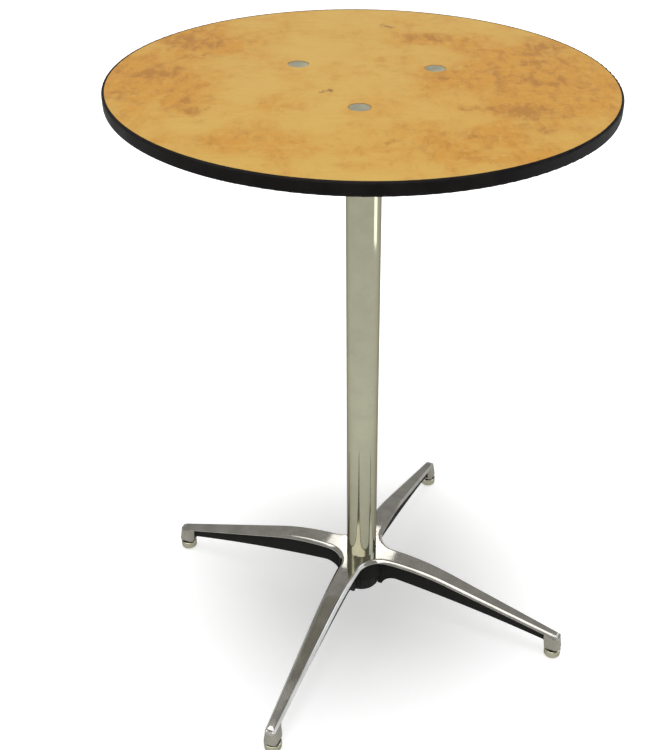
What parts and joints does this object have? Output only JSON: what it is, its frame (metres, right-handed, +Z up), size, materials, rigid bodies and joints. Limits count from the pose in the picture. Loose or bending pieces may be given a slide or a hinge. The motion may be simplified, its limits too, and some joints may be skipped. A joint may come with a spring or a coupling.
{
  "type": "pub table",
  "caption": "Bar-height round pub table: plywood top with a vinyl edge, chromed column and a cross-shaped cast base on screw glides, drawn together by a tie rod and hand knob.",
  "frame": {"origin": "on the floor, under the column's axis", "axes": "+Z up along the column; +X, +Y, -X and -Y each point along one arm of the base"},
  "size_m": [0.832, 0.832, 1.0675],
  "materials": {
    "plywood": "clear-coated birch plywood, mottled with use",
    "vinyl_edge": "satin black vinyl",
    "nickel_steel": "dull nickel plate",
    "zinc_steel": "zinc plate",
    "chrome": "bright chrome plate",
    "cast_aluminium": "polished casting",
    "black_paint": "matt black paint",
    "black_plastic": "moulded black plastic",
    "brass": "turned",
    "nylon": "moulded nylon"
  },
  "bodies": {
    "table": {"plywood_top": "plywood", "edge_band": "vinyl_edge", "top_bolts": "nickel_steel", "bolt_washers": "zinc_steel", "lock_nuts": "zinc_steel", "spider_plate": "black_paint", "column_tube": "chrome", "tie_rod": "zinc_steel", "base_casting": "cast_aluminium"},
    "foot_1": {"glide_cap_1": "chrome", "glide_pad_1": "nylon", "glide_washer_1": "black_plastic"},
    "stem_1": {"glide_stem_1": "zinc_steel"},
    "foot_2": {"glide_cap_2": "chrome", "glide_pad_2": "nylon", "glide_washer_2": "black_plastic"},
    "stem_2": {"glide_stem_2": "zinc_steel"},
    "foot_3": {"glide_cap_3": "chrome", "glide_pad_3": "nylon", "glide_washer_3": "black_plastic"},
    "stem_3": {"glide_stem_3": "zinc_steel"},
    "foot_4": {"glide_cap_4": "chrome", "glide_pad_4": "nylon", "glide_washer_4": "black_plastic"},
    "stem_4": {"glide_stem_4": "zinc_steel"},
    "washer": {"clamp_washer": "zinc_steel"},
    "knob": {"hand_knob": "black_plastic", "knob_insert": "brass"}
  },
  "joints": [
    {"name": "foot_1_height", "type": "slide", "parent": "table", "child": "foot_1", "axis": [0, 0, -1], "range_m": [0, 0.012]},
    {"name": "stem_1_turn", "type": "hinge", "parent": "foot_1", "child": "stem_1", "pos_m": [0.4, 0, 0.02], "axis": [0, 0, -1], "range_deg": [0, 3456]},
    {"name": "foot_2_height", "type": "slide", "parent": "table", "child": "foot_2", "axis": [0, 0, -1], "range_m": [0, 0.012]},
    {"name": "stem_2_turn", "type": "hinge", "parent": "foot_2", "child": "stem_2", "pos_m": [0, 0.4, 0.02], "axis": [0, 0, -1], "range_deg": [0, 3456]},
    {"name": "foot_3_height", "type": "slide", "parent": "table", "child": "foot_3", "axis": [0, 0, -1], "range_m": [0, 0.012]},
    {"name": "stem_3_turn", "type": "hinge", "parent": "foot_3", "child": "stem_3", "pos_m": [-0.4, 0, 0.02], "axis": [0, 0, -1], "range_deg": [0, 3456]},
    {"name": "foot_4_height", "type": "slide", "parent": "table", "child": "foot_4", "axis": [0, 0, -1], "range_m": [0, 0.012]},
    {"name": "stem_4_turn", "type": "hinge", "parent": "foot_4", "child": "stem_4", "pos_m": [0, -0.4, 0.02], "axis": [0, 0, -1], "range_deg": [0, 3456]},
    {"name": "washer_drop", "type": "slide", "parent": "table", "child": "washer", "axis": [0, 0, -1], "range_m": [0, 0.0105]},
    {"name": "knob_turn", "type": "hinge", "parent": "washer", "child": "knob", "pos_m": [0, 0, 0.07], "axis": [0, 0, -1], "range_deg": [0, 2160]}
  ],
  "couplings": [
    {"joint": "stem_1_turn", "follows": "foot_1_height", "rad_per_m": 5026.5},
    {"joint": "stem_2_turn", "follows": "foot_2_height", "rad_per_m": 5026.5},
    {"joint": "stem_3_turn", "follows": "foot_3_height", "rad_per_m": 5026.5},
    {"joint": "stem_4_turn", "follows": "foot_4_height", "rad_per_m": 5026.5},
    {"joint": "knob_turn", "follows": "washer_drop", "rad_per_m": 3590.4}
  ]
}
